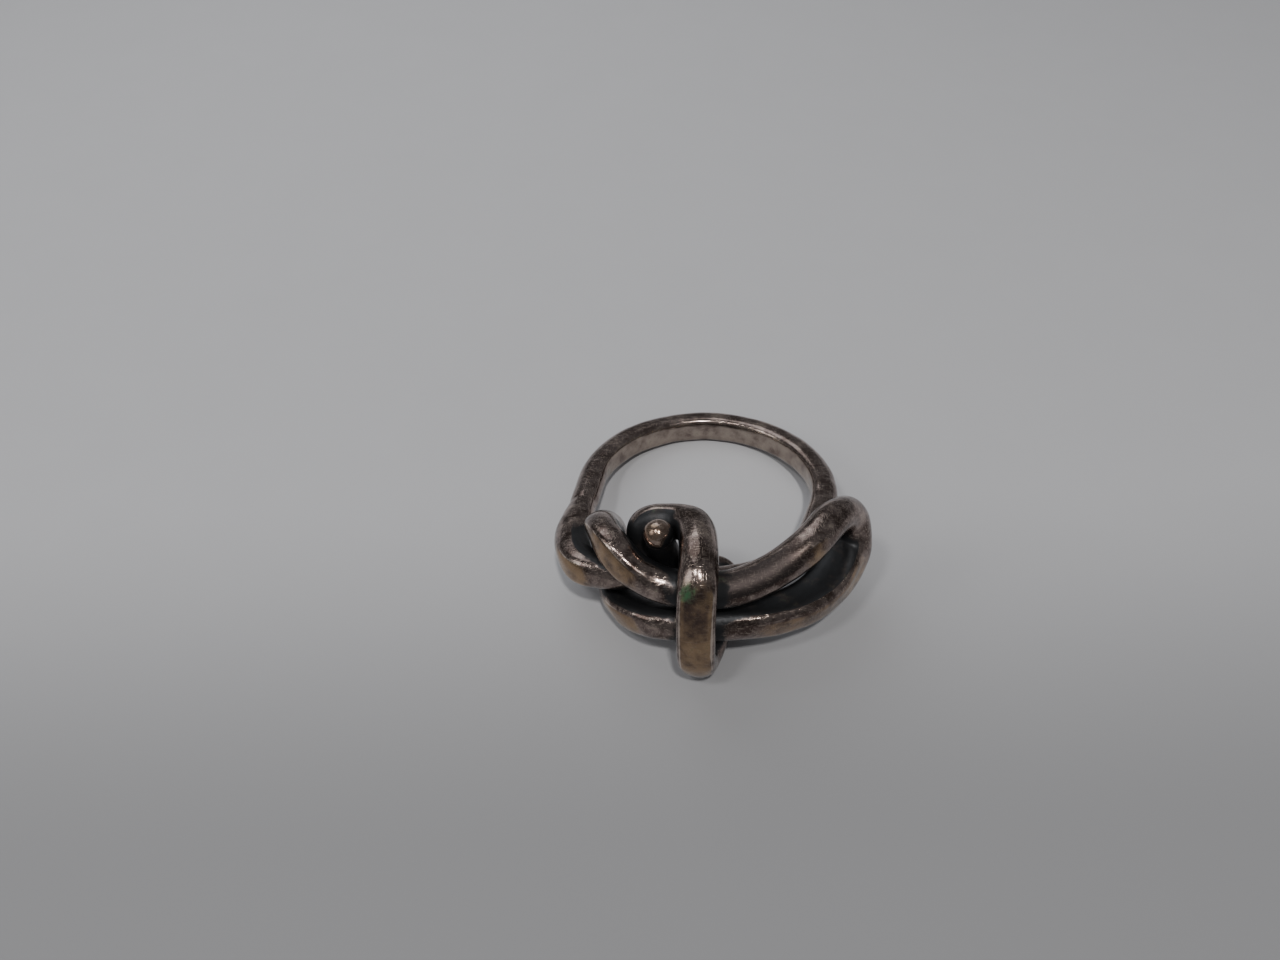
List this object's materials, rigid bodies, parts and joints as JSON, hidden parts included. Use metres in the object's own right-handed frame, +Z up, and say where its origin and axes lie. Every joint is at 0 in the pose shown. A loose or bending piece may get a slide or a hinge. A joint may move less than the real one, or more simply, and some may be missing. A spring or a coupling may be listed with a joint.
{
  "type": "wire finger ring puzzle",
  "caption": "Finger ring of heavy wire with an open knot at the front: one long wire ends in a small ball and is hitched through a closed, captive oval link.",
  "frame": {"origin": "middle of the finger hole, in the plane of the band", "axes": "+Z up from the table the ring lies on, -Y towards the knot, +X towards the link's open right loop; the finger axis leans back from +Z by the rest tilt"},
  "size_m": [0.0245, 0.0292, 0.012],
  "materials": {
    "band_silver": "worn tarnished silver, satin",
    "knot_silver": "tarnished silver, black in the recesses, worn bright and brownish on the outside",
    "ball_silver": "tarnished silver, rubbed bright on top",
    "link_silver": "tarnished silver, black in the recesses, worn bright and brownish on the outside"
  },
  "bodies": {
    "ring": {"finger_band": "band_silver", "knot_wire": "knot_silver", "ball_tip": "ball_silver"},
    "link": {"captive_link": "link_silver"}
  },
  "joints": [
    {"name": "link_slide", "type": "hinge", "parent": "ring", "child": "link", "pos_m": [0, 0, 0], "axis": [0, 0.1949, 0.9808], "range_deg": [-2.5, 1]}
  ]
}
